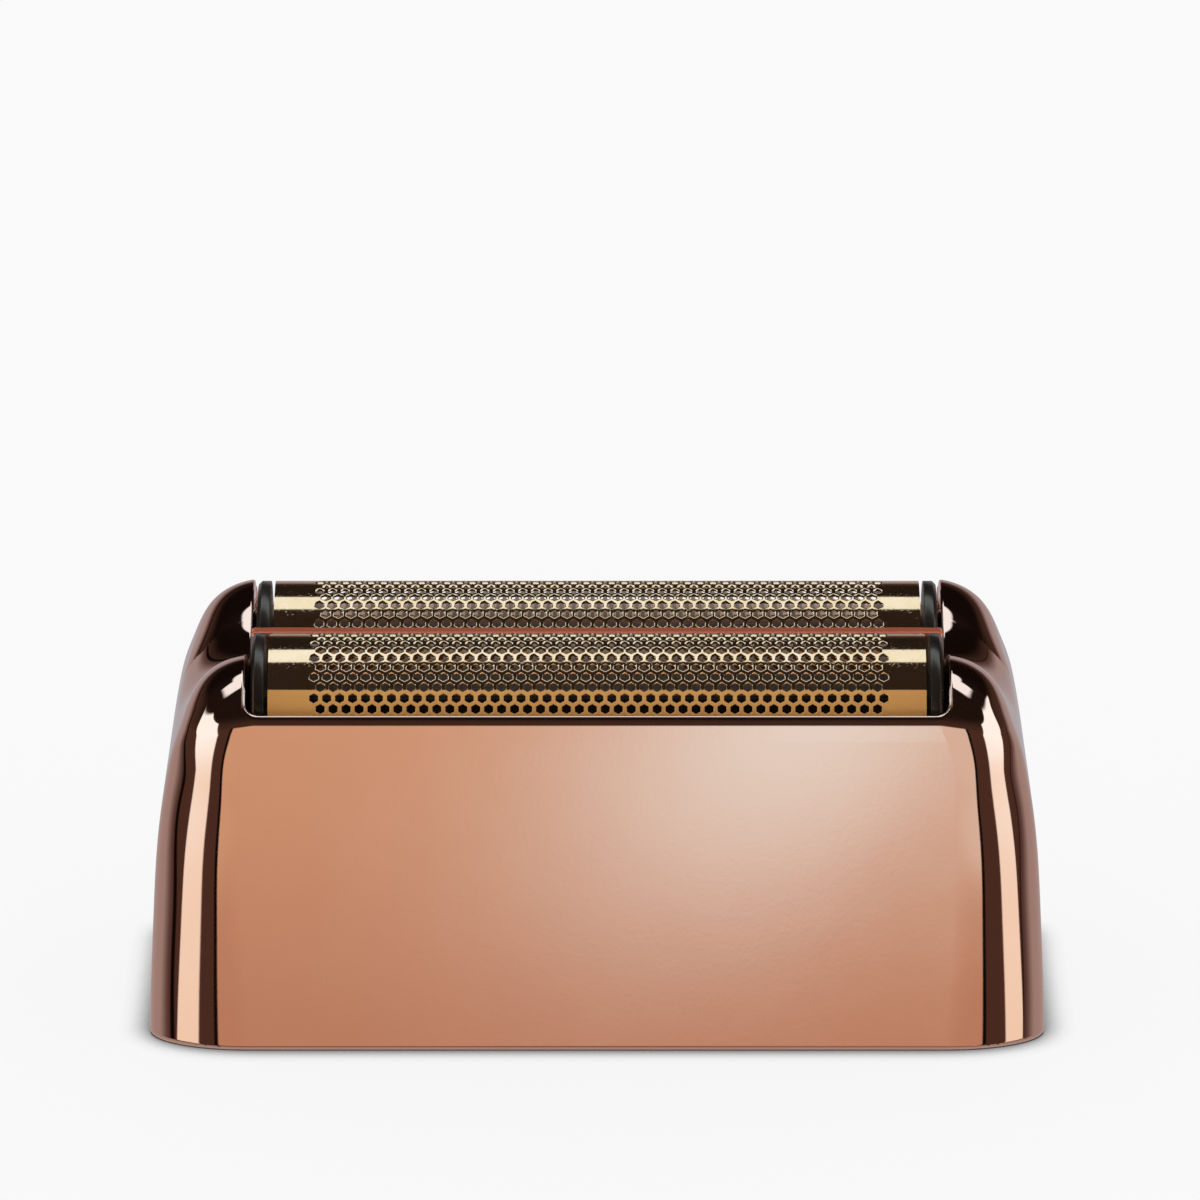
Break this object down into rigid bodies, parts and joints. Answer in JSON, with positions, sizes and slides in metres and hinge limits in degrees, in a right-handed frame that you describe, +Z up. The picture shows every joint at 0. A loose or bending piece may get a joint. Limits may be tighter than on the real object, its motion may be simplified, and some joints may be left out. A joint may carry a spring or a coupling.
{
  "type": "shaver foil head",
  "caption": "Plated saddle-shouldered shaver head with perforated gold foils arched side by side over an open skirt.",
  "frame": {"origin": "middle of the open rim that the head stands on", "axes": "+X along the foils, -Y the front, +Z up through the foils"},
  "size_m": [0.0622, 0.028, 0.0275],
  "materials": {
    "plating": "polished rose-gold plating",
    "foil": "satin gold",
    "black_plastic": "satin black"
  },
  "bodies": {
    "root": {"housing": "plating", "front_foil": "foil", "rear_foil": "foil", "front_foil_frame": "black_plastic", "rear_foil_frame": "black_plastic", "retaining_frame": "black_plastic"}
  },
  "joints": []
}
